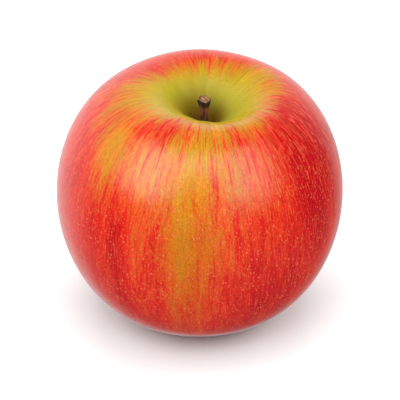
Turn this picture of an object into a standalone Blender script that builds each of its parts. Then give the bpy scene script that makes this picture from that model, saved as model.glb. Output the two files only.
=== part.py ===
"""An apple as picked: the fruit, its woody stem, and the withered flower in the hollow of its base.

It stands on the five bumps of its base, with +Z up the core and the origin on the table under the core.
All lengths are in metres.
"""

import math

import bmesh
import bpy
from mathutils import Matrix, Vector
from mathutils.geometry import interpolate_bezier

# The fruit, as its half section is drawn
FRUIT_WIDTH = 0.080  # across the widest part
FRUIT_HEIGHT = 0.0679  # from the table to the crest of the shoulder
GIRTH_HEIGHT = 0.0342  # from the table to the widest part
CREST_RADIUS = 0.0180  # from the core to the crest
FOOT_RADIUS = 0.0135  # from the core to the ring of bumps that it stands on
FOOT_FLAT = 0.0022  # how wide that ring is level
FOOT_PRESS = 0.0003  # how deep each bump is pressed flat by the table
CREST_SWELL = 0.45  # how far the crest runs level before it turns down, as a share of its way to the girth
SHOULDER_FULLNESS = 0.58  # how far the girth runs upright into the shoulder
FLANK_FULLNESS = 0.53  # how far the girth runs upright into the lower flank
FOOT_SWELL = 0.55  # how far the foot runs level before it turns up into the flank

# The hollow around the stem
CAVITY_DEPTH = 0.0157  # from the crest to the throat, where the flesh meets the stem
CAVITY_LIP = 0.0087  # how far the crest runs level into the hollow
THROAT_RISE = 0.0100  # how far the wall climbs out of the throat before it bends outwards
THROAT_FLARE = 0.0035  # how far it spreads on that way
STEM_SHIFT = 0.0011  # how far the stem and the throat stand to the side of the fruit's middle
SHIFT_REACH = 0.0320  # how far from the middle the shoulder still gives way to that
OPEN_TURN = math.radians(-4)  # where the lip of the hollow is low and open, from +X
LIP_RADIUS = 0.0097
LIP_DIP = 0.0038  # how much lower the lip is there
LIP_REACH = 0.0079  # how far in and out the low lip is felt

# The hollow of the base, which holds the withered flower
BASIN_DEPTH = 0.0085
BASIN_LIP = 0.0050  # how far the foot runs level into the basin
BASIN_FLARE = 0.0045  # how far the basin's roof runs level before it turns down
ROOF_RADIUS = 0.0046  # the level ring of the basin's roof, which the sepals grow from
TUBE_RADIUS = 0.0024  # the small well inside the ring of sepals
TUBE_DEPTH = 0.0022

# The swellings of the five seed chambers, and how far the grown fruit is from round
CHAMBERS = 5
CHAMBER_TURN = math.radians(22)  # where the first chamber lies, from +X
SIDE_DIP = 0.0004  # between two chambers, at the girth
CREST_DIP = 0.0003  # between two chambers, at the crest
FOOT_DIP = 0.0011  # between two bumps of the base
OVAL = 0.00025  # how much longer the long half width is than the mean
OVAL_TURN = math.radians(35)

# The stem
STEM_DIAMETER = 0.0023
STEM_HEAD_DIAMETER = 0.0036  # the knob that broke from the twig
STEM_HEAD_HEIGHT = 0.0016
STEM_STANDING = 0.0130  # from the throat up to the knob's end
STEM_LEAN = 0.0001  # how far the knob leans to the side of the throat
STEM_SEAT = 0.0030  # how deep the stem goes below the throat
GROWN_GAP = 0.0003  # between pieces that have grown together

# The withered flower
SEPALS = 5
SEPAL_LENGTH = 0.0058
SEPAL_WIDTH = 0.0032  # at its foot
SEPAL_THICKNESS = 0.0004
SEPAL_RING = 0.0036  # radius of the ring that the sepals grow from
SEPAL_LEAN = math.radians(24)  # inwards, as it leaves the roof
SEPAL_CURL = math.radians(112)  # outwards, from its foot to its tip
STAMENS = 10
STAMEN_DIAMETER = 0.00035
STAMEN_LENGTH = 0.0036
STAMEN_RING = 0.0014
STAMEN_SPREAD = 0.0006  # how far every other stamen's tip leans out, past the ring

# How finely the round shapes are drawn
ROUND_STEPS = 90
SMOOTH_ANGLE = math.radians(50)

HALF_WIDTH = FRUIT_WIDTH / 2
THROAT_RADIUS = STEM_DIAMETER / 2 + GROWN_GAP
THROAT_HEIGHT = FRUIT_HEIGHT - CAVITY_DEPTH
SEAT_HEIGHT = THROAT_HEIGHT - STEM_SEAT - GROWN_GAP
STEM_TOP = THROAT_HEIGHT + STEM_STANDING


def principled(name, colour, roughness):
    """A plain material with a part's colour and gloss."""
    material = bpy.data.materials.new(name)
    material.use_nodes = True
    shader = material.node_tree.nodes["Principled BSDF"]
    shader.inputs["Base Color"].default_value = (*colour, 1)
    shader.inputs["Roughness"].default_value = roughness
    shader.inputs["Metallic"].default_value = 0
    material.diffuse_color = (*colour, 1)
    return material


def make_collection(name):
    collection = bpy.data.collections.new(name)
    bpy.context.scene.collection.children.link(collection)
    return collection


def add_object(name, data, material, collection):
    """A named object with one material, in the apple's collection."""
    made = bpy.data.objects.new(name, data)
    if not data.materials:
        data.materials.append(material)
    collection.objects.link(made)
    return made


def bell(distance, spread):
    """1 at no distance, falling smoothly to near 0 at twice the spread."""
    return math.exp(-((distance / spread) ** 2))


def ease(share):
    """0 up to no share, climbing smoothly to 1 at the whole."""
    share = min(max(share, 0), 1)
    return share * share * (3 - 2 * share)


def half_section():
    """The fruit's outline as (radius, height), from the stem's seat over the shoulder to the calyx tube."""
    throat = Vector((THROAT_RADIUS, THROAT_HEIGHT))
    crest = Vector((CREST_RADIUS, FRUIT_HEIGHT))
    girth = Vector((HALF_WIDTH, GIRTH_HEIGHT))
    outer_foot = Vector((FOOT_RADIUS + FOOT_FLAT / 2, -FOOT_PRESS))
    inner_foot = Vector((FOOT_RADIUS - FOOT_FLAT / 2, -FOOT_PRESS))
    roof = Vector((ROOF_RADIUS, BASIN_DEPTH))
    climb = Vector((THROAT_FLARE, THROAT_RISE))
    level = Vector((1, 0))
    upright = Vector((0, 1))
    spans = (
        (throat, throat + climb, crest - level * CAVITY_LIP, crest, 14),
        (
            crest,
            crest + level * CREST_SWELL * (girth.x - crest.x),
            girth + upright * SHOULDER_FULLNESS * (crest.y - girth.y),
            girth,
            13,
        ),
        (
            girth,
            girth - upright * FLANK_FULLNESS * (girth.y - outer_foot.y),
            outer_foot + level * FOOT_SWELL * (girth.x - outer_foot.x),
            outer_foot,
            13,
        ),
        (outer_foot, outer_foot, inner_foot, inner_foot, 3),
        (inner_foot, inner_foot - level * BASIN_LIP, roof + level * BASIN_FLARE, roof, 9),
    )
    outline = [Vector((0, SEAT_HEIGHT)), Vector((THROAT_RADIUS, SEAT_HEIGHT))]
    for start, handle, next_handle, end, points in spans:
        outline += interpolate_bezier(start, handle, next_handle, end, points)[:-1]
    outline += [
        roof,
        Vector((TUBE_RADIUS, BASIN_DEPTH)),
        Vector((TUBE_RADIUS, BASIN_DEPTH + TUBE_DEPTH)),
        Vector((0, BASIN_DEPTH + TUBE_DEPTH)),
    ]
    return outline


def turned(outline, name):
    """A closed mesh turned from an outline of (radius, height), which runs from the core back to the core."""
    profile = bpy.data.meshes.new(name + "_profile")
    points = [(p.x, 0, p.y) for p in outline]
    profile.from_pydata(points, [(i, i + 1) for i in range(len(points) - 1)], [])
    guide = bpy.data.objects.new(name + "_profile", profile)
    bpy.context.scene.collection.objects.link(guide)
    screw = guide.modifiers.new("Screw", "SCREW")
    screw.axis = "Z"
    screw.steps = screw.render_steps = ROUND_STEPS
    screw.use_merge_vertices = True
    screw.merge_threshold = 0.00001
    graph = bpy.context.evaluated_depsgraph_get()
    mesh = bpy.data.meshes.new_from_object(guide.evaluated_get(graph))
    mesh.name = name
    bpy.data.objects.remove(guide)
    return mesh


def grown(point):
    """Where a point of the turned fruit lies on the grown one, with its five chambers and its lean."""
    radius = math.hypot(point.x, point.y)
    angle = math.atan2(point.y, point.x)
    between = (1 - math.cos(CHAMBERS * (angle - CHAMBER_TURN))) / 2
    outwards = min(radius / HALF_WIDTH, 1) ** 2
    upwards = point.z / FRUIT_HEIGHT
    oval = OVAL * math.cos(2 * (angle - OVAL_TURN))
    wider = outwards * (oval - SIDE_DIP * between)
    scale = 1 + wider / radius if radius else 1
    moved = Vector((point.x * scale, point.y * scale, point.z))
    if upwards < 0.5:
        moved.z += FOOT_DIP * between * bell(radius - FOOT_RADIUS, FOOT_RADIUS / 2)
        moved.z = max(moved.z, 0)
        return moved
    moved.z -= CREST_DIP * between * bell(radius - CREST_RADIUS, CREST_RADIUS / 2)
    open_side = ((1 + math.cos(angle - OPEN_TURN)) / 2) ** 2
    open_side *= ease((radius - THROAT_RADIUS) / (LIP_RADIUS - THROAT_RADIUS))
    moved.z -= LIP_DIP * open_side * bell(radius - LIP_RADIUS, LIP_REACH)
    moved.x += STEM_SHIFT * (1 - ease((radius - THROAT_RADIUS) / (SHIFT_REACH - THROAT_RADIUS)))
    return moved


def make_fruit(collection):
    """The fruit: skin, flesh and core are one solid."""
    mesh = turned(half_section(), "fruit")
    for vertex in mesh.vertices:
        vertex.co = grown(vertex.co)
    skin = principled("apple_skin", (0.72, 0.10, 0.05), 0.3)
    fruit = add_object("fruit", mesh, skin, collection)
    mesh.shade_smooth()
    mesh.set_sharp_from_angle(angle=SMOOTH_ANGLE)
    return fruit


def tube_curve(name, points, diameters, sides):
    """A tube of filled ends through the points, as thick at each as its diameter."""
    curve = bpy.data.curves.new(name, "CURVE")
    curve.dimensions = "3D"
    curve.bevel_depth = 0.5
    curve.bevel_resolution = sides
    curve.use_fill_caps = True
    spline = curve.splines.new("POLY")
    spline.points.add(len(points) - 1)
    for knot, place, diameter in zip(spline.points, points, diameters):
        knot.co = (*place, 1)
        knot.radius = diameter
    return curve


def make_stem(collection):
    """The stem: a thin stalk seated in the throat, which leans and swells into a knob."""
    low = SEAT_HEIGHT + GROWN_GAP
    rise = STEM_TOP - low
    head = STEM_HEAD_HEIGHT / rise
    seated = STEM_SEAT / rise
    stalk = [seated * share for share in (0, 0.5, 1)]
    stalk += [seated + (1 - head - seated) * share for share in (0.2, 0.4, 0.6, 0.8)]
    knob = ((1 - head, 1.06), (1 - 0.75 * head, 1.2), (1 - 0.45 * head, 1.46))
    knob += ((1 - 0.15 * head, STEM_HEAD_DIAMETER / STEM_DIAMETER), (1, 1.44))
    shares = stalk + [share for share, _ in knob]
    thickness = [1.0] * len(stalk) + [factor for _, factor in knob]
    points, diameters = [], []
    for share, factor in zip(shares, thickness):
        free = max(0, (share - seated) / (1 - seated))
        points.append(Vector((STEM_SHIFT + STEM_LEAN * free**2, 0, low + rise * share)))
        diameters.append(STEM_DIAMETER * factor)
    bark = principled("stem_bark", (0.16, 0.09, 0.04), 0.75)
    curve = tube_curve("stem", points, diameters, 4)
    return add_object("stem", curve, bark, collection)


def sepal_mesh():
    """One sepal at +X: a tapering leaf that hangs from the basin's roof and curls outwards to its tip."""
    across, along = 4, 8
    drawn = bmesh.new()
    bmesh.ops.create_grid(drawn, x_segments=across, y_segments=along, size=0.5)
    foot = Vector((SEPAL_RING, 0, BASIN_DEPTH - GROWN_GAP - SEPAL_THICKNESS * 0.3))
    for vertex in drawn.verts:
        side, share = vertex.co.x * 2, vertex.co.y + 0.5
        turn = SEPAL_CURL * share
        # The middle line is an arc, so a point's place on it is the sum of the arc's chords
        reach = SEPAL_LENGTH / SEPAL_CURL
        outwards = reach * (math.cos(SEPAL_LEAN) - math.cos(turn - SEPAL_LEAN))
        downwards = reach * (math.sin(turn - SEPAL_LEAN) + math.sin(SEPAL_LEAN))
        width = SEPAL_WIDTH / 2 * (1 - share**1.6) + SEPAL_THICKNESS / 2
        cupped = 0.25 * width * side**2 * (1 - share)
        vertex.co = foot + Vector((outwards - cupped, side * width, -downwards))
    bmesh.ops.recalc_face_normals(drawn, faces=drawn.faces)
    mesh = bpy.data.meshes.new("sepal")
    drawn.to_mesh(mesh)
    drawn.free()
    return mesh


def make_sepals(collection):
    """The five dry sepals, one between each two chambers' bumps."""
    mesh = sepal_mesh()
    dry = principled("dry_sepal", (0.20, 0.14, 0.08), 0.9)
    made = []
    for number in range(SEPALS):
        sepal = add_object(f"sepal_{number + 1}", mesh, dry, collection)
        sepal.rotation_euler.z = CHAMBER_TURN + math.tau * (number + 0.5) / SEPALS
        skin = sepal.modifiers.new("Solidify", "SOLIDIFY")
        skin.thickness = SEPAL_THICKNESS
        skin.offset = 0
        made.append(sepal)
    return made


def make_stamens(collection):
    """The dry stamens, which stand in the calyx tube around its middle."""
    dry = principled("dry_stamen", (0.10, 0.06, 0.03), 0.9)
    root = BASIN_DEPTH + TUBE_DEPTH - GROWN_GAP
    made = []
    for number in range(STAMENS):
        angle = CHAMBER_TURN + math.tau * number / STAMENS
        lean = STAMEN_SPREAD * (1 if number % 2 else -0.5)
        points = []
        for share in (0, 0.25, 0.5, 0.75, 1):
            radius = STAMEN_RING + lean * share**2
            height = root - STAMEN_LENGTH * share
            points.append(Vector((radius, 0, height)))
        curve = tube_curve("stamen", points, [STAMEN_DIAMETER] * len(points), 1)
        stamen = add_object(f"stamen_{number + 1:02d}", curve, dry, collection)
        stamen.matrix_world = Matrix.Rotation(angle, 4, "Z")
        made.append(stamen)
    return made


def main():
    for leftover in list(bpy.data.objects):
        bpy.data.objects.remove(leftover)
    apple = make_collection("apple")
    make_fruit(apple)
    make_stem(apple)
    make_sepals(apple)
    make_stamens(apple)


main()
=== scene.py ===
import math

import bpy
import numpy as np
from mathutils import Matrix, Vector
from mathutils.geometry import interpolate_bezier


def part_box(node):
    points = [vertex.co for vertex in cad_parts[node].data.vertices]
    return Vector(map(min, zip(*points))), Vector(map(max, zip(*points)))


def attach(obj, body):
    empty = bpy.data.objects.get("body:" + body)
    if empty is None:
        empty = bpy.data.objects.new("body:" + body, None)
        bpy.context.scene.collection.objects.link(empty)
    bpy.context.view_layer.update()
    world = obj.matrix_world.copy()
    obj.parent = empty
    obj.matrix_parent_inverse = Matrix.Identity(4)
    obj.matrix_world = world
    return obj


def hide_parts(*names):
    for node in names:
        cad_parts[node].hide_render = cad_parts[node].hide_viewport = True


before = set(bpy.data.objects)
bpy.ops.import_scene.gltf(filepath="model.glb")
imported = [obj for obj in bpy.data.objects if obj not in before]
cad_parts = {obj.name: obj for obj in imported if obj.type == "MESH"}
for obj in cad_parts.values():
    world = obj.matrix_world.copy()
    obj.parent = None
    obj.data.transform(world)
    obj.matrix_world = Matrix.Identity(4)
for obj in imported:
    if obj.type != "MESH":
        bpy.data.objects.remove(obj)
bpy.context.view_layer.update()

# The fruit is drawn in millimetres of one that is 67.9 mm tall, and takes its real size from the frame
FRUIT_TALL = 67.9
MM = (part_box("fruit")[1].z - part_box("fruit")[0].z) / FRUIT_TALL
STEM_LOW, STEM_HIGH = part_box("stem")

# The half section: (distance from the core, height)
THROAT = Vector((1.22, 52.2))
CREST = Vector((18.0, FRUIT_TALL))
GIRTH = Vector((40.0, 34.2))
OUTER_FOOT = Vector((14.6, -0.3))
INNER_FOOT = Vector((12.4, -0.3))
ROOF = Vector((4.6, 8.5))
WELL_RADIUS = 2.4
WELL_TOP = 10.7
SEAT_HEIGHT = 48.9
MOUTH_EDGE = 1  # a ring this far under the throat's mouth keeps its edge crisp

# How far the outline keeps its direction as it leaves or reaches those points
THROAT_RISE = Vector((3.7, 10.0))
CREST_INWARDS, CREST_OUTWARDS = 8.7, 9.9
GIRTH_UPWARDS, GIRTH_DOWNWARDS = 19.55, 18.3
FOOT_OUTWARDS, FOOT_INWARDS = 13.97, 5.0
ROOF_OUTWARDS = 4.5

# How finely the fruit is drawn
FRUIT_STEPS = 96
FRUIT_SUBDIVISIONS = 2

# The swellings of the seed chambers, and how deep the skin lies between two of them
CHAMBERS = 5
CHAMBER_TURN = math.radians(22)
SIDE_DIP = 0.4
CREST_DIP, CREST_DIP_REACH = 0.3, 9.0
FOOT_DIP, FOOT_DIP_RADIUS, FOOT_DIP_REACH = 1.1, 13.5, 6.75
OVAL = 0.25
OVAL_TURN = math.radians(35)

# Where the lip of the stem's hollow is low and open, and how the throat stands to the side
OPEN_TURN = math.radians(-4)
LIP_DIP, LIP_RADIUS, LIP_REACH = 3.8, 9.7, 7.9
LIP_START = 8.25
STEM_SHIFT, SHIFT_REACH = 1.1, 30.55

# The folds down the wall of that hollow: (how deep, how many round, where they start)
FOLDS = ((0.08, 9, 0.7), (0.06, 14, 2.1))
FOLD_RADIUS, FOLD_REACH = 8.5, 4.5
CREASE_DEPTH = 0.5
CREASE_TURN, CREASE_WIDTH = math.radians(84), math.radians(7)


def smooth_step(share):
    """0 up to no share, climbing smoothly to 1 at the whole."""
    share = np.clip(share, 0, 1)
    return share * share * (3 - 2 * share)


def bell(distance, spread):
    return np.exp(-((distance / spread) ** 2))


# ---------------------------------------------------------------- modelling


def deselect_everything():
    if bpy.context.mode != "OBJECT":
        bpy.ops.object.mode_set(mode="OBJECT")
    bpy.ops.object.select_all(action="DESELECT")


def keep_as(name):
    """Names the piece that was just made, and leaves its place in its mesh."""
    piece = bpy.context.object
    piece.name = name
    piece.data.name = name
    bpy.ops.object.transform_apply(location=True, rotation=True, scale=True)
    return piece


def apply_modifier(piece, kind, **settings):
    modifier = piece.modifiers.new(kind.title(), kind)
    for setting, value in settings.items():
        setattr(modifier, setting, value)
    bpy.ops.object.select_all(action="DESELECT")
    piece.select_set(True)
    bpy.context.view_layer.objects.active = piece
    bpy.ops.object.modifier_apply(modifier=modifier.name)


def points_of(piece):
    points = np.empty(len(piece.data.vertices) * 3, np.float32)
    piece.data.vertices.foreach_get("co", points)
    return points.reshape(-1, 3).astype(float)


def move_points(piece, points):
    piece.data.vertices.foreach_set("co", points.astype(np.float32).ravel())
    piece.data.update()


def note(piece, name, values):
    """Keeps a number, or a place, for each of the mesh's points."""
    flat = np.asarray(values, np.float32)
    kind, key = ("FLOAT", "value") if flat.ndim == 1 else ("FLOAT_VECTOR", "vector")
    attribute = piece.data.attributes.get(name) or piece.data.attributes.new(name, kind, "POINT")
    attribute.data.foreach_set(key, flat.ravel())


def noted(piece, name):
    attribute = piece.data.attributes[name]
    values = np.empty(len(attribute.data), np.float32)
    attribute.data.foreach_get("value", values)
    return values.astype(float)


def draw_chain(points):
    """A row of edges through the points, extruded one after the other from a single vertex."""
    deselect_everything()
    bpy.ops.mesh.primitive_plane_add(size=0.001, location=points[0])
    bpy.ops.object.transform_apply(location=True, rotation=False, scale=False)
    bpy.ops.object.mode_set(mode="EDIT")
    bpy.ops.mesh.select_all(action="SELECT")
    bpy.ops.mesh.merge(type="CENTER")
    for start, end in zip(points, points[1:]):
        step = tuple(b - a for a, b in zip(start, end))
        bpy.ops.mesh.extrude_vertices_move(TRANSFORM_OT_translate={"value": step})
    bpy.ops.object.mode_set(mode="OBJECT")
    return bpy.context.object


def spin_closed(steps):
    """Spins the drawn chain round the core, closes it, and turns its faces outwards."""
    bpy.ops.object.mode_set(mode="EDIT")
    bpy.ops.mesh.select_all(action="SELECT")
    bpy.ops.mesh.spin(steps=steps, angle=math.tau, center=(0, 0, 0), axis=(0, 0, 1))
    bpy.ops.mesh.select_all(action="SELECT")
    bpy.ops.mesh.remove_doubles(threshold=1e-6)
    bpy.ops.mesh.normals_make_consistent(inside=False)
    bpy.ops.object.mode_set(mode="OBJECT")


# ---------------------------------------------------------------- the fruit


def half_section():
    """The fruit's outline from the stem's seat over the crest, the girth and the foot to the calyx well."""
    level, upright = Vector((1, 0)), Vector((0, 1))
    spans = (
        # start, its handle, the end's handle, end, points along it
        (THROAT, THROAT + THROAT_RISE, CREST - level * CREST_INWARDS, CREST, 16),
        (CREST, CREST + level * CREST_OUTWARDS, GIRTH + upright * GIRTH_UPWARDS, GIRTH, 15),
        (GIRTH, GIRTH - upright * GIRTH_DOWNWARDS, OUTER_FOOT + level * FOOT_OUTWARDS, OUTER_FOOT, 15),
        (OUTER_FOOT, OUTER_FOOT, INNER_FOOT, INNER_FOOT, 3),
        (INNER_FOOT, INNER_FOOT - level * FOOT_INWARDS, ROOF + level * ROOF_OUTWARDS, ROOF, 9),
    )
    outline = [Vector((0, SEAT_HEIGHT)), Vector((THROAT.x, SEAT_HEIGHT))]
    outline.append(Vector((THROAT.x, THROAT.y - MOUTH_EDGE)))
    for start, handle, next_handle, end, points in spans:
        outline += interpolate_bezier(start, handle, next_handle, end, points)[:-1]
    outline += [ROOF, Vector((WELL_RADIUS, ROOF.y)), Vector((WELL_RADIUS, WELL_TOP))]
    outline.append(Vector((0, WELL_TOP)))
    return outline


def folds(bearing, distance):
    """The soft folds that run down the wall of the stem's hollow, in millimetres."""
    wave = sum(deep * np.cos(count * bearing + start) for deep, count, start in FOLDS)
    away = np.angle(np.exp(1j * (bearing - CREASE_TURN)))
    return bell(distance - FOLD_RADIUS, FOLD_REACH) * (wave - CREASE_DEPTH * bell(away, CREASE_WIDTH))


def grow(points):
    """Moves the spun fruit's points, in millimetres, to where they lie on the grown fruit."""
    distance = np.hypot(points[:, 0], points[:, 1])
    bearing = np.arctan2(points[:, 1], points[:, 0])
    upper = points[:, 2] > FRUIT_TALL / 2
    between = (1 - np.cos(CHAMBERS * (bearing - CHAMBER_TURN))) / 2
    oval = OVAL * np.cos(2 * (bearing - OVAL_TURN))
    wider = np.minimum(distance / GIRTH.x, 1) ** 2 * (oval - SIDE_DIP * between)
    scale = 1 + wider / np.maximum(distance, 1e-6)
    grown = points * np.stack([scale, scale, np.ones_like(scale)], 1)
    open_side = ((1 + np.cos(bearing - OPEN_TURN)) / 2) ** 2
    open_side *= smooth_step((distance - THROAT.x) / LIP_START)
    lip = LIP_DIP * open_side * bell(distance - LIP_RADIUS, LIP_REACH)
    crest = CREST_DIP * between * bell(distance - CREST.x, CREST_DIP_REACH)
    foot = FOOT_DIP * between * bell(distance - FOOT_DIP_RADIUS, FOOT_DIP_REACH)
    grown[:, 2] += np.where(upper, folds(bearing, distance) - lip - crest, foot)
    grown[:, 2] = np.maximum(grown[:, 2], 0)
    aside = STEM_SHIFT * (1 - smooth_step((distance - THROAT.x) / SHIFT_REACH))
    grown[:, 0] += np.where(upper, aside, 0)
    return grown


def model_fruit():
    outline = half_section()
    fruit = draw_chain([(p.x * MM, 0, p.y * MM) for p in outline])
    steps = [(b - a).length for a, b in zip(outline, outline[1:])]
    inside_throat = sum(steps[:3])  # the seat, and the two steps up the throat's wall
    note(fruit, "down", np.concatenate([[0], np.cumsum(steps)]) - inside_throat)
    spin_closed(FRUIT_STEPS)
    fruit = keep_as("apple_fruit")
    apply_modifier(fruit, "SUBSURF", levels=FRUIT_SUBDIVISIONS, render_levels=FRUIT_SUBDIVISIONS)
    spun = points_of(fruit) / MM
    bearing = np.arctan2(spun[:, 1], spun[:, 0])
    move_points(fruit, grow(spun) * MM)
    fruit.data.shade_smooth()
    paint_fruit(fruit, bearing, noted(fruit, "down"))
    lay_out_skin(fruit, bearing, noted(fruit, "down"))
    return fruit


def lay_out_skin(fruit, bearing, down):
    """Lays the skin out flat: round the fruit one way, and down from the stem the other."""
    layout = fruit.data.uv_layers.new(name="OFBake")
    loops = np.empty(len(fruit.data.loops), np.int32)
    fruit.data.loops.foreach_get("vertex_index", loops)
    across = (bearing / math.tau + 0.5)[loops]
    along = ((down - down.min()) / (down.max() - down.min()))[loops]
    starts = np.empty(len(fruit.data.polygons), np.int32)
    fruit.data.polygons.foreach_get("loop_start", starts)
    faces = np.repeat(np.arange(len(starts)), np.diff(np.append(starts, len(loops))))
    widest = np.maximum.reduceat(across, starts)[faces]
    across = np.where(widest - across > 0.5, across + 1, across)
    one_step = 1 / (FRUIT_STEPS * 2**FRUIT_SUBDIVISIONS)
    across = across / (1 + one_step)
    layout.data.foreach_set("uv", np.stack([across, 1 - along], 1).astype(np.float32).ravel())


# ---------------------------------------------------------------- the colours that the sun gave it

# From the front, in degrees to the right, and how far down from the stem the blush begins, in millimetres
BLUSH_EDGE = (
    (-180, 22), (-160, 21), (-140, 21.5), (-120, 22.5), (-100, 27), (-80, 29), (-65, 27), (-50, 26),
    (-35, 24.5), (-20, 22.5), (-5, 24.5), (10, 26), (25, 27), (40, 29), (55, 28), (70, 28.5), (85, 27),
    (100, 29), (120, 30), (140, 25), (160, 23), (180, 22),
)
BLUSH_FULL = 0.94  # how much blush there is past its edge
BLUSH_AHEAD, BLUSH_FADE = 6.5, 12.5  # how far before its edge it starts, and how far it takes to come up
BARE_DEPTH, BARE_AHEAD, BARE_FADE = 0.6, 4, 7  # how clear of any streak the hollow is, further in
BASIN_EDGE, BASIN_FADE, BASIN_PALE = 112, 8, 0.6  # where the skin goes pale again, in the basin
CRIMSON_BLUSH = 0.25  # how much closer the blush is where it is deepest

# Where the ground colour shows through the blush: (to the right, down, how wide, how long, how strongly)
GOLDEN_PATCHES = (
    (-2, 39, 26, 13, 0.40),
    (-4, 42, 9, 15, 0.28),
    (4, 32, 15, 6, 0.42),
    (-18, 32, 6, 4, 0.25),
    (-4, 60, 13, 13, 0.48),
    (-4, 72, 9, 12, 0.28),
    (-20, 66, 9, 16, 0.16),
    (-6, 84, 10, 11, 0.22),
    (-51, 39, 8, 9, 0.66),
    (-70, 34, 15, 8, 0.48),
    (-48, 52, 8, 5, 0.20),
    (-28, 41, 13, 9, 0.28),
    (-37, 37, 8, 7, 0.22),
    (-100, 33, 12, 7, 0.25),
    (24, 44, 11, 12, 0.18),
    (42, 42, 8, 12, 0.20),
    (92, 36, 4, 10, 0.20),
    (150, 60, 16, 20, 0.50),
    (-150, 55, 12, 18, 0.50),
    (105, 70, 10, 22, 0.35),
    (-110, 72, 9, 20, 0.30),
)

# Where the blush is deepest
CRIMSON_PATCHES = (
    (60, 42, 11, 17, 1.0),
    (78, 42, 12, 15, 0.7),
    (52, 44, 7, 12, 0.25),
    (54, 60, 6, 16, 0.65),
    (28, 78, 17, 20, 0.60),
    (-36, 66, 4, 15, 0.60),
    (-40, 90, 18, 15, 0.30),
    (-68, 50, 7, 9, 0.15),
    (-32, 28, 9, 5, 0.15),
    (100, 52, 14, 14, 0.5),
    (-120, 60, 20, 24, 0.4),
    (175, 60, 14, 24, 0.6),
)


def around(bearing, middle, spread):
    """How near a bearing is to a middle one, 1 to 0, whichever way round."""
    return bell(np.degrees(np.angle(np.exp(1j * (bearing - math.radians(middle))))), spread)


def paint_fruit(fruit, angle, down):
    """Notes, for each point of the skin, how much blush there is, how deep it is, and where it lies."""
    bearing = angle + math.pi / 2
    turn = (np.degrees(bearing) + 180) % 360 - 180
    edge = np.interp(turn, *zip(*BLUSH_EDGE))
    blush = BLUSH_FULL * smooth_step((down - edge + BLUSH_AHEAD) / BLUSH_FADE)
    blush -= BARE_DEPTH * smooth_step((edge - BARE_AHEAD - down) / BARE_FADE)
    for to_right, below, wide, long, strength in GOLDEN_PATCHES:
        blush -= strength * around(bearing, to_right, wide) * bell(down - below, long)
    crimson = np.zeros_like(blush)
    for to_right, below, wide, long, strength in CRIMSON_PATCHES:
        crimson += strength * around(bearing, to_right, wide) * bell(down - below, long)
    blush += CRIMSON_BLUSH * crimson - BASIN_PALE * smooth_step((down - BASIN_EDGE) / BASIN_FADE)
    note(fruit, "blush", blush)
    note(fruit, "crimson", crimson)
    girth = GIRTH.x * MM
    place = [girth * np.cos(angle), girth * np.sin(angle), down * MM]
    note(fruit, "skin_place", np.stack(place, 1))


# ---------------------------------------------------------------- finishes


def chart(red, green, blue):
    """A colour off a paint chart, 0 to 255, as the linear light that it reflects."""
    shares = [part / 255 for part in (red, green, blue)]
    linear = [s / 12.92 if s <= 0.04045 else ((s + 0.055) / 1.055) ** 2.4 for s in shares]
    return (*linear, 1)


# The skin's ground, from the throat outwards and under the blush (its olive darkened deep in the throat as
# painted shade), its two reds, and its pale dots and hairs
THROAT_OLIVE_IN_PAINTED_SHADE, HOLLOW_GREEN = chart(54, 56, 2), chart(140, 129, 16)
RIM_GOLD, SHOULDER_GOLD, STRAY_GOLD = chart(158, 116, 8), chart(150, 90, 4), chart(152, 92, 5)
WARM_GROUND = chart(168, 88, 30)
SCARLET, CRIMSON = chart(174, 27, 11), chart(144, 1, 10)
LENTICEL_TAN, FLECK_ORANGE, HAIR_ORANGE = chart(190, 124, 74), chart(190, 104, 56), chart(192, 92, 54)

# The stem's bark, the darker bark of its knob, and the wood where it broke off
BARK_DARK, BARK_LIGHT, KNOB_BROWN = chart(58, 26, 9), chart(132, 78, 32), chart(44, 16, 7)
BREAK_DARK, BREAK_LIGHT = chart(66, 35, 17), chart(154, 107, 64)

# The withered flower
SEPAL_DARK, SEPAL_LIGHT = chart(66, 46, 26), chart(128, 102, 66)
SEPAL_BLOTCH, SEPAL_DOWN = chart(50, 32, 18), chart(158, 150, 120)
THREAD_DARK, THREAD_LIGHT, ANTHER_BROWN = chart(48, 30, 16), chart(98, 70, 40), chart(58, 36, 18)


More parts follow.
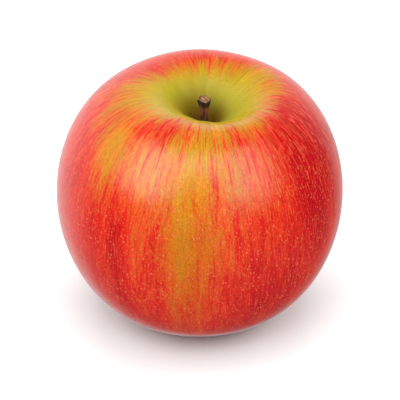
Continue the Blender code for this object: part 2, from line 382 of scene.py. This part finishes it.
class Nodes:
    """A tree of nodes, and the few kinds of node that the finishes and the room are made of."""

    def __init__(self, tree):
        self.tree = tree

    def join(self, value, socket):
        if isinstance(value, bpy.types.NodeSocket):
            self.tree.links.new(value, socket)
        else:
            socket.default_value = value

    def attribute(self, name, output="Fac"):
        node = self.tree.nodes.new("ShaderNodeAttribute")
        node.attribute_name = name
        return node.outputs[output]

    def object_place(self):
        return self.tree.nodes.new("ShaderNodeTexCoord").outputs["Object"]

    def maths(self, operation, *values):
        node = self.tree.nodes.new("ShaderNodeMath")
        node.operation = operation
        for value, socket in zip(values, node.inputs):
            self.join(value, socket)
        return node.outputs[0]

    def swing(self, noise, amount, middle):
        """Swings a value, or a socket, by an amount either side as the noise goes from 0 to 1."""
        return self.maths("MULTIPLY_ADD", self.maths("SUBTRACT", noise, 0.5), amount, middle)

    def stretched(self, place, scale):
        node = self.tree.nodes.new("ShaderNodeMapping")
        node.inputs["Scale"].default_value = scale
        self.join(place, node.inputs["Vector"])
        return node.outputs[0]

    def noise(self, place, scale, detail=2.0, roughness=0.5, distortion=0.0):
        node = self.tree.nodes.new("ShaderNodeTexNoise")
        for name, value in (("Vector", place), ("Scale", scale), ("Detail", detail)):
            self.join(value, node.inputs[name])
        node.inputs["Roughness"].default_value = roughness
        node.inputs["Distortion"].default_value = distortion
        return node.outputs[0]

    def cells(self, place, scale):
        """How far each place is from the middle of its cell."""
        node = self.tree.nodes.new("ShaderNodeTexVoronoi")
        self.join(place, node.inputs["Vector"])
        node.inputs["Scale"].default_value = scale
        return node.outputs["Distance"]

    def ramp(self, value, low, high, start=0.0, end=1.0):
        """Climbs smoothly from start to end as the value goes from low to high."""
        node = self.tree.nodes.new("ShaderNodeMapRange")
        node.interpolation_type = "SMOOTHSTEP"
        self.join(value, node.inputs["Value"])
        for name, number in (("From Min", low), ("From Max", high), ("To Min", start), ("To Max", end)):
            node.inputs[name].default_value = number
        return node.outputs[0]

    def mix(self, share, first, second):
        node = self.tree.nodes.new("ShaderNodeMix")
        node.data_type = "RGBA"
        self.join(share, node.inputs["Factor"])
        self.join(first, node.inputs[6])
        self.join(second, node.inputs[7])
        return node.outputs[2]

    def bump(self, height, strength, distance, under=None):
        node = self.tree.nodes.new("ShaderNodeBump")
        node.inputs["Strength"].default_value = strength
        node.inputs["Distance"].default_value = distance
        self.join(height, node.inputs["Height"])
        if under is not None:
            self.join(under, node.inputs["Normal"])
        return node.outputs[0]

    def scaled(self, colour, factor):
        node = self.tree.nodes.new("ShaderNodeVectorMath")
        node.operation = "SCALE"
        self.join(colour, node.inputs[0])
        self.join(factor, node.inputs["Scale"])
        return node.outputs[0]

    def parts(self, vector):
        node = self.tree.nodes.new("ShaderNodeSeparateXYZ")
        self.join(vector, node.inputs[0])
        return node.outputs


class Finish(Nodes):
    """A Principled finish of a material of its own."""

    def __init__(self, name, roughness):
        self.material = bpy.data.materials.new(name)
        self.material.use_nodes = True
        super().__init__(self.material.node_tree)
        self.shader = self.tree.nodes["Principled BSDF"]
        self.set("Roughness", roughness)

    def set(self, name, value):
        self.join(value, self.shader.inputs[name])


# The skin's noises: (how much it is drawn out down the fruit, scale, detail, roughness, distortion)
SKIN_NOISES = {
    "broad": (0.16, 170.0, 3.0, 0.6, 0.3),
    "fine": (0.24, 520.0, 3.0, 0.65, 0.5),
    "fibre": (0.50, 1400.0, 3.0, 0.75, 0.0),
    "line": (0.07, 850.0, 2.0, 0.6, 0.7),
    "hair": (0.05, 2100.0, 1.0, 0.6, 0.6),
    "hairline": (0.12, 2300.0, 2.0, 0.6, 0.0),
    "speckle": (0.7, 3200.0, 2.0, 0.7, 0.0),
}


# How much each noise sways the edge of the blush, the depth of the red and the tone, and how much the fine
# lines sway them
BLUSH_SWAY, BLUSH_LINES = {"broad": 1.0, "fine": 0.8, "fibre": 1.1}, 2.4
DEPTH_SWAY, DEPTH_LINES = {"fine": 1.4, "broad": 1.2}, 4.0
TONE_SWAY, TONE_LINES = {"speckle": 1.5}, 1.5
HAIR_SHARE = 0.8  # how strong the hairs are among the fine lines

# Zones are (from, to, value before, value past it), with from and to in metres down from the stem, and go
# from 0 to 1 where no values are given
LINES_START = (0.015, 0.024)
LINES_THIN = (0.022, 0.060, 1.0, 0.25)
HAIRLINES_THIN = (0.024, 0.065, 0.8, 0.2)
WAX_SHINE = (0.008, 0.024, 0.15, 0.5)
WAX_ROUGHNESS = (0.008, 0.022, 0.6, 0.15)
# the first zone climbs out of the painted shade of the throat to the hollow's own green
GROUND_ZONES = ((0.004, 0.018, HOLLOW_GREEN), (0.015, 0.027, RIM_GOLD), (0.042, 0.060, SHOULDER_GOLD))

# Pale dots: (how much they are drawn out, scale, a dot's edge in its cell, the zone where they grow stronger,
# colour)
LENTICELS = (0.7, 760.0, (0.06, 0.22), (0.030, 0.065, 0.15, 0.45), LENTICEL_TAN)
FLECKS = (0.6, 1500.0, (0.08, 0.30), (0.025, 0.060, 0.2, 0.4), FLECK_ORANGE)

# The skin's relief: (strength, height in metres)
UNEVEN_RELIEF, GRAIN_RELIEF, LENTICEL_RELIEF = (0.35, 0.0006), (0.5, 0.00012), (0.3, 0.00006)


def skin_finish():
    """Waxy skin: a green and gold ground, a red blush in streaks that run down from the stem, pale dots."""
    skin = Finish("waxy_skin", 0.3)
    skin.set("IOR", 1.45)
    place = skin.attribute("skin_place", "Vector")
    far = skin.parts(place)[2]
    noises = {
        name: skin.noise(skin.stretched(place, (1, 1, drawn_out)), *settings)
        for name, (drawn_out, *settings) in SKIN_NOISES.items()
    }
    lined = skin.maths("MULTIPLY_ADD", noises["hair"], HAIR_SHARE, noises["line"])
    lined = skin.maths("SUBTRACT", lined, (HAIR_SHARE + 1) / 2)
    lined = skin.maths("MULTIPLY", lined, skin.ramp(far, *LINES_THIN))
    lined = skin.maths("MULTIPLY", lined, skin.ramp(far, *LINES_START))

    colour = skin_pigment(skin, noises, lined, far)
    colour, in_lenticel = dotted(skin, colour, place, far, LENTICELS)
    colour, _ = dotted(skin, colour, place, far, FLECKS)
    skin.set("Base Color", skin.scaled(colour, swayed(skin, 1.0, noises, TONE_SWAY, lined, TONE_LINES)))

    uneven = skin.bump(skin.noise(skin.object_place(), 140.0), *UNEVEN_RELIEF)
    grain = skin.bump(noises["speckle"], *GRAIN_RELIEF, uneven)
    skin.set("Normal", skin.bump(in_lenticel, *LENTICEL_RELIEF, grain))
    skin.set("Specular IOR Level", skin.ramp(far, *WAX_SHINE))
    grained = skin.ramp(noises["speckle"], 0.3, 0.7, 0.0, 0.1)
    skin.set("Roughness", skin.maths("ADD", grained, skin.ramp(far, *WAX_ROUGHNESS)))
    return skin.material


def swayed(skin, value, noises, sway, lined, lines):
    """A value, swayed by some of the noises and by the fine lines."""
    for name, amount in sway.items():
        value = skin.swing(noises[name], amount, value)
    return skin.maths("MULTIPLY_ADD", lined, lines, value)


def dotted(skin, colour, place, far, dots):
    """A colour with one kind of pale dot laid over it, and where those dots are."""
    drawn_out, scale, edge, zone, pale = dots
    in_dot = skin.ramp(skin.cells(skin.stretched(place, (1, 1, drawn_out)), scale), *edge, 1.0, 0.0)
    share = skin.maths("MULTIPLY", in_dot, skin.ramp(far, *zone))
    return skin.mix(share, colour, pale), in_dot


def skin_pigment(skin, noises, lined, far):
    """The ground, green in the hollow and darkened in its throat by painted shade, gold outside it, under two
    reds in streaks and pale hairlines.
    """
    blush, crimson = skin.attribute("blush"), skin.attribute("crimson")
    # deep in the stem's hollow the ground starts from olive green darkened with painted shade
    ground = THROAT_OLIVE_IN_PAINTED_SHADE
    for start, full, colour in GROUND_ZONES:
        ground = skin.mix(skin.ramp(far, start, full), ground, colour)
    wander = skin.noise(skin.object_place(), 60.0, 1.0)
    ground = skin.mix(skin.ramp(wander, 0.45, 0.7, 0.0, 0.3), ground, STRAY_GOLD)
    ground = skin.mix(skin.ramp(blush, 0.45, 0.95), ground, WARM_GROUND)

    depth = swayed(skin, crimson, noises, DEPTH_SWAY, lined, DEPTH_LINES)
    red = skin.mix(skin.ramp(depth, -0.3, 1.0), SCARLET, CRIMSON)
    streak = swayed(skin, blush, noises, BLUSH_SWAY, lined, BLUSH_LINES)
    colour = skin.mix(skin.ramp(streak, -0.08, 0.98), ground, red)

    hairline = skin.ramp(noises["hairline"], 0.54, 0.67)
    hairline = skin.maths("MULTIPLY", hairline, skin.ramp(far, *HAIRLINES_THIN))
    hairline = skin.maths("MULTIPLY", hairline, skin.ramp(blush, 0.1, 0.7))
    return skin.mix(hairline, colour, HAIR_ORANGE)


def bark_finish():
    """The stem: brown ridged bark, and a pale mottled face where it broke off."""
    bark = Finish("stem_bark", 0.75)
    face = bark.attribute("broken_face")
    place = bark.object_place()
    ridge = bark.noise(bark.stretched(place, (1, 1, 0.2)), 1500.0, detail=4.0, roughness=0.65)
    mottle = bark.noise(place, 1900.0, detail=3.0, roughness=0.6)
    wood = bark.mix(bark.ramp(ridge, 0.35, 0.65), BARK_DARK, BARK_LIGHT)
    wood = bark.mix(bark.ramp(bark.attribute("rise"), 0.80, 0.93), wood, KNOB_BROWN)
    broken = bark.mix(bark.ramp(mottle, 0.38, 0.62), BREAK_DARK, BREAK_LIGHT)
    bark.set("Base Color", bark.mix(face, wood, broken))
    bark.set("Normal", bark.bump(bark.mix(face, ridge, mottle), strength=0.6, distance=0.0003))
    return bark.material


# ---------------------------------------------------------------- the stem

# The stem's rings: (height as a share, radius in millimetres)
STEM_RINGS = (
    (0.00, 1.05), (0.06, 1.15), (0.16, 1.15), (0.24, 1.22), (0.36, 1.13), (0.50, 1.08), (0.62, 1.12),
    (0.72, 1.10), (0.82, 1.18), (0.88, 1.34), (0.93, 1.62), (0.97, 1.78), (1.00, 1.70),
)
# The broken face, ring by ring: (how far in, how far up)
STEM_FACE = ((0.25, -0.10), (0.30, -0.16), (0.35, 0.05), (0.4, -0.05))
# The ridges of the bark: (how high, how many round, how much they twist, where they start)
STEM_RIDGES = ((0.05, 7, 3, 0), (0.035, 11, -5, 1), (0.05, 2, 9, 0), (0.03, 17, 2, 0))
STEM_SIDES = 32
KNOB_START, KNOB_RISE = 0.8, 0.15  # where the knob starts and how long it takes to come up, as shares
KNOB_RIDGES = 0.5  # how much higher the ridges are on the knob
STEM_BEND = 0.1  # how far the foot stands to the left of the top
BREAK_TILT, BREAK_PEAKS, BREAK_TURN = 0.12, 3, 0.5  # how uneven the break is, its peaks, and where they are
BREAK_RADIUS, BREAK_EDGE = 1.55, 0.2  # the radius of the bare wood, and how soft its edge is
BREAK_START, BREAK_RISE = 0.95, 0.03  # where bare wood may start, and how soon it is bare, as shares


def model_stem():
    """The stem: a ring of edges extruded up ring by ring, swelling to a knob with a sunken broken face."""
    middle = (STEM_LOW + STEM_HIGH) / 2
    tall = STEM_HIGH.z - STEM_LOW.z
    deselect_everything()
    foot, radius = (middle.x, middle.y, STEM_LOW.z), STEM_RINGS[0][1] * MM
    bpy.ops.mesh.primitive_circle_add(vertices=STEM_SIDES, radius=radius, fill_type="NGON", location=foot)
    bpy.ops.object.transform_apply(location=True, rotation=False, scale=False)
    bpy.ops.object.mode_set(mode="EDIT")
    bpy.ops.mesh.select_all(action="SELECT")
    for (low, before), (high, after) in zip(STEM_RINGS, STEM_RINGS[1:]):
        bpy.ops.mesh.extrude_region_move(TRANSFORM_OT_translate={"value": (0, 0, (high - low) * tall)})
        bpy.ops.transform.resize(value=(after / before, after / before, 1))
    for inset, sink in STEM_FACE:
        bpy.ops.mesh.inset(thickness=inset * MM)
        bpy.ops.transform.translate(value=(0, 0, sink * MM))
    bpy.ops.mesh.select_all(action="SELECT")
    bpy.ops.mesh.normals_make_consistent(inside=False)
    bpy.ops.object.mode_set(mode="OBJECT")
    stem = keep_as("apple_stem")
    apply_modifier(stem, "SUBSURF", levels=2, render_levels=2)
    points = points_of(stem)
    away = points - np.array([middle.x, middle.y, 0])
    bearing = np.arctan2(away[:, 1], away[:, 0])
    distance = np.hypot(away[:, 0], away[:, 1]) / MM
    rise = (points[:, 2] - STEM_LOW.z) / tall
    ridges = np.zeros_like(rise)
    for high, count, twist, begin in STEM_RIDGES:
        ridges += high * np.cos(count * bearing + twist * rise + begin)
    knob = smooth_step((rise - KNOB_START) / KNOB_RISE)
    ridges *= 1 + KNOB_RIDGES * knob
    away[:, :2] *= (1 + ridges * np.minimum(distance, 1))[:, None]
    away[:, 0] -= STEM_BEND * MM * (1 - smooth_step(rise))
    tilt = np.cos(BREAK_PEAKS * bearing + BREAK_TURN) * np.minimum(distance, 1)
    away[:, 2] += BREAK_TILT * MM * knob * (tilt - 1)
    move_points(stem, away + np.array([middle.x, middle.y, 0]))
    stem.data.shade_smooth()
    face = smooth_step((BREAK_RADIUS - distance) / BREAK_EDGE)
    face *= smooth_step((rise - BREAK_START) / BREAK_RISE)
    note(stem, "rise", rise)
    note(stem, "broken_face", face)
    return stem


# ---------------------------------------------------------------- the withered flower

SEPALS = 5
SEPAL_LENGTH = 5.8
SEPAL_HALF_WIDTH = 1.6
SEPAL_THICKNESS = 0.36
SEPAL_FOOT = (3.6, 8.08)  # distance from the core, height
SEPAL_LEAN = math.radians(24)
SEPAL_GRID = (14, 30)  # how finely it is drawn, across and along
SEPAL_CURL, CURL_SPREAD = 112, 5  # in degrees from foot to tip, and how much that differs
SEPAL_TIP = 0.15  # half its width at the tip
SEPAL_CUP = 0.28  # how hollow it is at the foot, as a share of its half width
# Wrinkles: (how high, waves across, waves along, how each sepal differs)
SEPAL_WRINKLES = ((0.09, 7, 2, 1), (0.07, 3, -9, 2))
WRINKLES_START = 0.25
WAVY_EDGE, EDGE_WAVES = 0.07, 11
SEPAL_CROOKED = 0.35  # how far a tip has dried to the side
STAMENS = 10
STAMEN_RADIUS, STAMEN_LENGTH = 1.4, 3.6  # of the ring they stand in, and their own length
STAMEN_ROOT = 10.4
STAMEN_SIDES = 10
STAMEN_LEANS = (0.6, -0.3)  # how far every other one leans out, and how far those between lean in
STAMEN_WAVES = ((0.06, 7, 1), (0.08, 5, 2))  # outwards and aside: (how far, how often, how each one differs)
ANTHER_START, ANTHER_EDGE = 0.72, 0.08
# A stamen's rings: (share of the way down, radius in millimetres), with the anther at the end
STAMEN_RINGS = (
    (0, 0.175), (0.15, 0.165), (0.35, 0.15), (0.55, 0.15), (0.72, 0.15), (0.80, 0.21), (0.88, 0.27),
    (0.95, 0.25), (1.0, 0.12),
)


def sepal_finish():
    """Dry sepals: brown, veined along their length, and grey with down towards the foot."""
    sepal = Finish("dry_sepal", 0.9)
    veins = sepal.noise(sepal.attribute("leaf_place", "Vector"), 3.0, detail=4.0, roughness=0.6)
    blotch = sepal.noise(sepal.object_place(), 900.0, detail=3.0, roughness=0.6)
    brown = sepal.mix(sepal.ramp(veins, 0.38, 0.62), SEPAL_DARK, SEPAL_LIGHT)
    brown = sepal.mix(sepal.ramp(blotch, 0.5, 0.7, 0.0, 0.6), brown, SEPAL_BLOTCH)
    downy = sepal.ramp(sepal.attribute("share"), 0.05, 0.55, 0.55, 0.0)
    sepal.set("Base Color", sepal.mix(downy, brown, SEPAL_DOWN))
    sepal.set("Normal", sepal.bump(veins, strength=0.7, distance=0.0002))
    return sepal.material


def stamen_finish():
    """Dry stamens: brown threads with a darker anther."""
    stamen = Finish("dry_stamen", 0.85)
    mottle = stamen.noise(stamen.object_place(), 4000.0, detail=3.0, roughness=0.6)
    thread = stamen.mix(stamen.ramp(mottle, 0.35, 0.65), THREAD_DARK, THREAD_LIGHT)
    stamen.set("Base Color", stamen.mix(stamen.attribute("anther"), thread, ANTHER_BROWN))
    stamen.set("Normal", stamen.bump(mottle, strength=0.5, distance=0.0001))
    return stamen.material


def turned_about_core(points, turn):
    """Points in millimetres, turned round the core and given their real size."""
    cos, sin = math.cos(turn), math.sin(turn)
    across, back, up = points.T
    return np.stack([cos * across - sin * back, sin * across + cos * back, up], 1) * MM


def model_sepal(number):
    """One sepal: a flat grid shaped into a tapering leaf that hangs, curls outwards and has dried crooked."""
    deselect_everything()
    across, along = SEPAL_GRID
    bpy.ops.mesh.primitive_grid_add(x_subdivisions=across, y_subdivisions=along, size=1)
    sepal = keep_as(f"apple_sepal_{number}")
    flat = points_of(sepal)
    side, share = flat[:, 0] * 2, flat[:, 1] + 0.5
    curl = math.radians(SEPAL_CURL + CURL_SPREAD * math.cos(2.3 * number))
    turn = curl * share
    reach = SEPAL_LENGTH / curl
    outwards = reach * (math.cos(SEPAL_LEAN) - np.cos(turn - SEPAL_LEAN))
    downwards = reach * (np.sin(turn - SEPAL_LEAN) + math.sin(SEPAL_LEAN))
    width = SEPAL_HALF_WIDTH * (1 - share**1.6) + SEPAL_TIP
    cupped = SEPAL_CUP * width * side**2 * (1 - share)
    wrinkle = np.zeros_like(share)
    for high, across, along, own in SEPAL_WRINKLES:
        wrinkle += high * np.cos(across * side + along * share + own * number)
    wrinkle *= smooth_step(share / WRINKLES_START)
    aside = side * width * (1 + WAVY_EDGE * np.cos(EDGE_WAVES * share + 1.7 * number) * share)
    aside += SEPAL_CROOKED * math.sin(2.1 * number) * share**2
    foot_out, foot_up = SEPAL_FOOT
    points = np.stack([foot_out + outwards - cupped + wrinkle, aside, foot_up - downwards], 1)
    move_points(sepal, turned_about_core(points, CHAMBER_TURN + math.tau * (number - 0.5) / SEPALS))
    note(sepal, "share", share)
    note(sepal, "leaf_place", np.stack([side * 2.2, share * 0.9 + number, 0 * share], 1))
    apply_modifier(sepal, "SOLIDIFY", thickness=SEPAL_THICKNESS * MM, offset=0)
    apply_modifier(sepal, "SUBSURF", levels=1, render_levels=1)
    sepal.data.shade_smooth()
    return sepal


def model_stamen(number):
    """One stamen: a thread extruded ring by ring down out of the calyx well, with a withered anther."""
    turn = CHAMBER_TURN + math.tau * (number - 1) / STAMENS
    deselect_everything()
    radius = STAMEN_RINGS[0][1] * MM
    bpy.ops.mesh.primitive_circle_add(vertices=STAMEN_SIDES, radius=radius, fill_type="NGON")
    bpy.ops.object.mode_set(mode="EDIT")
    bpy.ops.mesh.select_all(action="SELECT")
    for (high, before), (low, after) in zip(STAMEN_RINGS, STAMEN_RINGS[1:]):
        down = (high - low) * STAMEN_LENGTH * MM
        bpy.ops.mesh.extrude_region_move(TRANSFORM_OT_translate={"value": (0, 0, down)})
        bpy.ops.transform.resize(value=(after / before, after / before, 1))
    bpy.ops.mesh.select_all(action="SELECT")
    bpy.ops.mesh.normals_make_consistent(inside=False)
    bpy.ops.object.mode_set(mode="OBJECT")
    stamen = keep_as(f"apple_stamen_{number:02d}")
    apply_modifier(stamen, "SUBSURF", levels=1, render_levels=1)
    points = points_of(stamen) / MM
    share = -points[:, 2] / STAMEN_LENGTH
    points[:, 0] += STAMEN_RADIUS + STAMEN_LEANS[number % 2] * share**2
    for axis, (far, often, own) in enumerate(STAMEN_WAVES):
        points[:, axis] += far * np.sin(often * share + own * number) * share
    points[:, 2] += STAMEN_ROOT
    move_points(stamen, turned_about_core(points, turn))
    note(stamen, "anther", smooth_step((share - ANTHER_START) / ANTHER_EDGE))
    stamen.data.shade_smooth()
    return stamen


# ---------------------------------------------------------------- the studio

# Lights stand on a dome round the apple: (name, degrees to the right of the front, degrees up, how far off,
# how wide, how high, strength), in metres, and a fill also says what it lights
SOFTBOXES = (
    ("left_softbox", -50, 46, 1.1, 0.9, 1.0, 4.8),
    ("right_softbox", 43, 44, 1.1, 0.8, 1.1, 3.6),
)
FILLS = (
    ("low_fill", 0, 6, 1.15, 1.7, 0.24, 5.5, "lit_apple"),
    ("top_fill", 180, 75, 1.2, 1.2, 1.2, 3.1, None),
    ("left_fill", -100, 20, 1.1, 1.1, 0.7, 2.1, "lit_apple"),
    ("right_fill", 100, 20, 1.1, 1.1, 0.7, 2.6, "lit_apple"),
    ("back_fill", 180, 30, 1.2, 1.2, 0.8, 1.5, None),
    ("left_floor_fill", -120, 18, 1.1, 1.2, 0.5, 5.0, "lit_floor"),
    ("right_floor_fill", 120, 18, 1.1, 1.2, 0.5, 9.5, "lit_floor"),
)
LIGHTS_AIM = Vector((0, 0, 0.035))

# The room's own glow: a wall that stands behind and to the left, the table, and a little from everywhere
WALL_TURN, WALL_GLOW, TABLE_GLOW, ROOM_GLOW = 0.35, 1.05, 0.12, 0.03

FLOOR_SIZE = 8
FLOOR_GREY = (0.59, 0.605, 0.605, 1)

CAMERA_RISE, CAMERA_AWAY = 35, 0.7  # degrees up, and metres from what it is aimed at
CAMERA_AIM = 0.466  # how high it is aimed, as a share of the fruit's height
CAMERA_LENS, CAMERA_SENSOR = 226, 36  # in millimetres


def on_a_dome(turn, rise, distance):
    """A place round the apple: degrees to the right of the front, degrees up, and how far off."""
    turn, rise = math.radians(turn), math.radians(rise)
    flat = distance * math.cos(rise)
    return Vector((flat * math.sin(turn), -flat * math.cos(turn), distance * math.sin(rise)))


def face_towards(thing, aim):
    thing.rotation_euler = (aim - thing.location).to_track_quat("-Z", "Y").to_euler()


def add_panel(name, turn, rise, away, wide, high, strength):
    light = bpy.data.lights.new(name, "AREA")
    light.shape = "RECTANGLE"
    light.size, light.size_y = wide, high
    light.energy = strength * wide * high * math.pi
    panel = bpy.data.objects.new(name, light)
    bpy.context.scene.collection.objects.link(panel)
    panel.location = on_a_dome(turn, rise, away)
    face_towards(panel, LIGHTS_AIM)
    panel.visible_camera = False
    return panel


def lit_group(name, members):
    """A group of things that a light may be kept to."""
    group = bpy.data.collections.new(name)
    for member in members:
        group.objects.link(member)
    return group


def light_studio(pieces, floor):
    """Two softboxes that show in the wax, and soft fills that leave no shine."""
    groups = {"lit_apple": lit_group("lit_apple", pieces), "lit_floor": lit_group("lit_floor", [floor])}
    for softbox in SOFTBOXES:
        add_panel(*softbox)
    for *stand, lit in FILLS:
        panel = add_panel(*stand)
        panel.visible_glossy = False
        if lit:
            panel.light_linking.receiver_collection = groups[lit]


def surround():
    """The room that the wax reflects, and an even backdrop for the camera alone."""
    bpy.context.scene.view_settings.view_transform = "Standard"
    world = bpy.data.worlds.new("studio")
    bpy.context.scene.world = world
    world.use_nodes = True
    room = Nodes(world.node_tree)
    nodes = room.tree.nodes
    right, back, up = room.parts(nodes.new("ShaderNodeTexCoord").outputs["Generated"])
    behind = room.maths("SUBTRACT", back, room.maths("MULTIPLY", right, WALL_TURN))
    wall = room.ramp(behind, 0.2, 0.95, 0.0, WALL_GLOW)
    wall = room.maths("MULTIPLY", wall, room.ramp(up, 0.4, 0.75, 1.0, 0.0))
    table = room.ramp(up, -0.6, -0.25, TABLE_GLOW, 0.0)
    glow = nodes["Background"]
    glow.inputs["Color"].default_value = (1, 1, 1, 1)
    room.join(room.maths("ADD", room.maths("MAXIMUM", wall, table), ROOM_GLOW), glow.inputs["Strength"])
    choose = nodes.new("ShaderNodeMixShader")
    room.join(nodes.new("ShaderNodeLightPath").outputs["Is Camera Ray"], choose.inputs[0])
    room.join(glow.outputs[0], choose.inputs[1])
    room.join(nodes.new("ShaderNodeBackground").outputs[0], choose.inputs[2])
    room.join(choose.outputs[0], nodes["World Output"].inputs[0])


def lay_floor():
    deselect_everything()
    bpy.ops.mesh.primitive_plane_add(size=FLOOR_SIZE, location=(0, 0, 0))
    floor = keep_as("studio_floor")
    paper = Finish("white_paper", 0.9)
    paper.set("Specular IOR Level", 0.1)
    paper.set("Base Color", FLOOR_GREY)
    floor.data.materials.append(paper.material)
    floor.visible_glossy = False
    return floor


def set_camera():
    camera_data = bpy.data.cameras.new("camera")
    camera = bpy.data.objects.new("camera", camera_data)
    bpy.context.scene.collection.objects.link(camera)
    camera_data.sensor_width, camera_data.lens = CAMERA_SENSOR, CAMERA_LENS
    camera_data.clip_start, camera_data.clip_end = 0.01, 20
    aim = Vector((0, 0, CAMERA_AIM * FRUIT_TALL * MM))
    camera.location = aim + on_a_dome(0, CAMERA_RISE, CAMERA_AWAY)
    face_towards(camera, aim)
    bpy.context.scene.camera = camera


def hand_over(piece, node, material):
    """Gives a finished piece its material, and puts it where the frame's own part was."""
    piece.data.materials.append(material)
    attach(piece, "root")
    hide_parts(node)


def main():
    fruit, stem = model_fruit(), model_stem()
    hand_over(fruit, "fruit", skin_finish())
    hand_over(stem, "stem", bark_finish())
    pieces = [fruit, stem]
    dry_sepal, dry_stamen = sepal_finish(), stamen_finish()
    for number in range(1, SEPALS + 1):
        pieces.append(model_sepal(number))
        hand_over(pieces[-1], f"sepal_{number}", dry_sepal)
    for number in range(1, STAMENS + 1):
        pieces.append(model_stamen(number))
        hand_over(pieces[-1], f"stamen_{number:02d}", dry_stamen)
    light_studio(pieces, lay_floor())
    surround()
    set_camera()


main()
